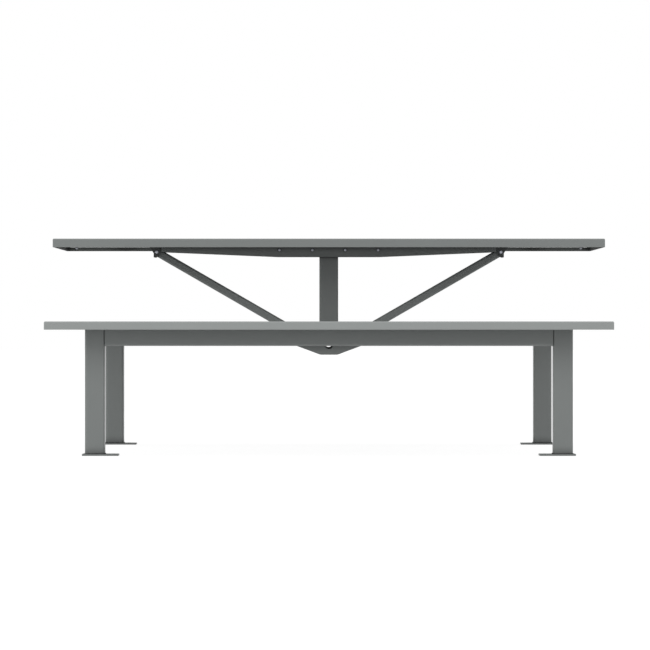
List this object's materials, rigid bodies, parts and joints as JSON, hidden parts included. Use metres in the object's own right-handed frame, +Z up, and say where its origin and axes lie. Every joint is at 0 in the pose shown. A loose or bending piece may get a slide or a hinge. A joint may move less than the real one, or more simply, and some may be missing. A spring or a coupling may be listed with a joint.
{
  "type": "table with attached benches",
  "caption": "Outdoor steel table with attached benches: sheet top on a post with slanting struts, joined by a cross tube to a sheet bench on each long side, on legs with anchor plates.",
  "frame": {"origin": "on the floor, under the middle of the table", "axes": "+X along the table, +Y from the front bench to the rear bench, +Z up"},
  "size_m": [1.932, 1.74, 0.75],
  "materials": {
    "coat": "grey fine-texture powder coat",
    "seat_coat": "paler grey fine-texture powder coat",
    "fasteners": "plain stainless"
  },
  "bodies": {
    "root": {"cross_tube": "coat", "front_beam": "coat", "front_end_plate": "coat", "front_left_foot_plate": "coat", "front_left_joint_bolt": "fasteners", "front_left_leg": "coat", "front_left_leg_cap": "coat", "front_left_saddle": "coat", "front_left_stiffener": "coat", "front_rib": "coat", "front_right_foot_plate": "coat", "front_right_joint_bolt": "fasteners", "front_right_leg": "coat", "front_right_leg_cap": "coat", "front_right_saddle": "coat", "front_right_stiffener": "coat", "front_seat": "seat_coat", "front_strut_foot_bolt": "fasteners", "left_rail_stud": "fasteners", "left_strut": "coat", "left_strut_bolt": "fasteners", "left_strut_bracket": "coat", "left_strut_foot": "coat", "post": "coat", "post_head": "coat", "rear_beam": "coat", "rear_end_plate": "coat", "rear_left_foot_plate": "coat", "rear_left_joint_bolt": "fasteners", "rear_left_leg": "coat", "rear_left_leg_cap": "coat", "rear_left_saddle": "coat", "rear_left_stiffener": "coat", "rear_rib": "coat", "rear_right_foot_plate": "coat", "rear_right_joint_bolt": "fasteners", "rear_right_leg": "coat", "rear_right_leg_cap": "coat", "rear_right_saddle": "coat", "rear_right_stiffener": "coat", "rear_seat": "seat_coat", "rear_strut_foot_bolt": "fasteners", "rib_bolt_1": "fasteners", "rib_bolt_2": "fasteners", "rib_bolt_3": "fasteners", "rib_bolt_4": "fasteners", "right_rail_stud": "fasteners", "right_strut": "coat", "right_strut_bolt": "fasteners", "right_strut_bracket": "coat", "right_strut_foot": "coat", "spine_rail": "coat", "table_top": "coat"}
  },
  "joints": []
}
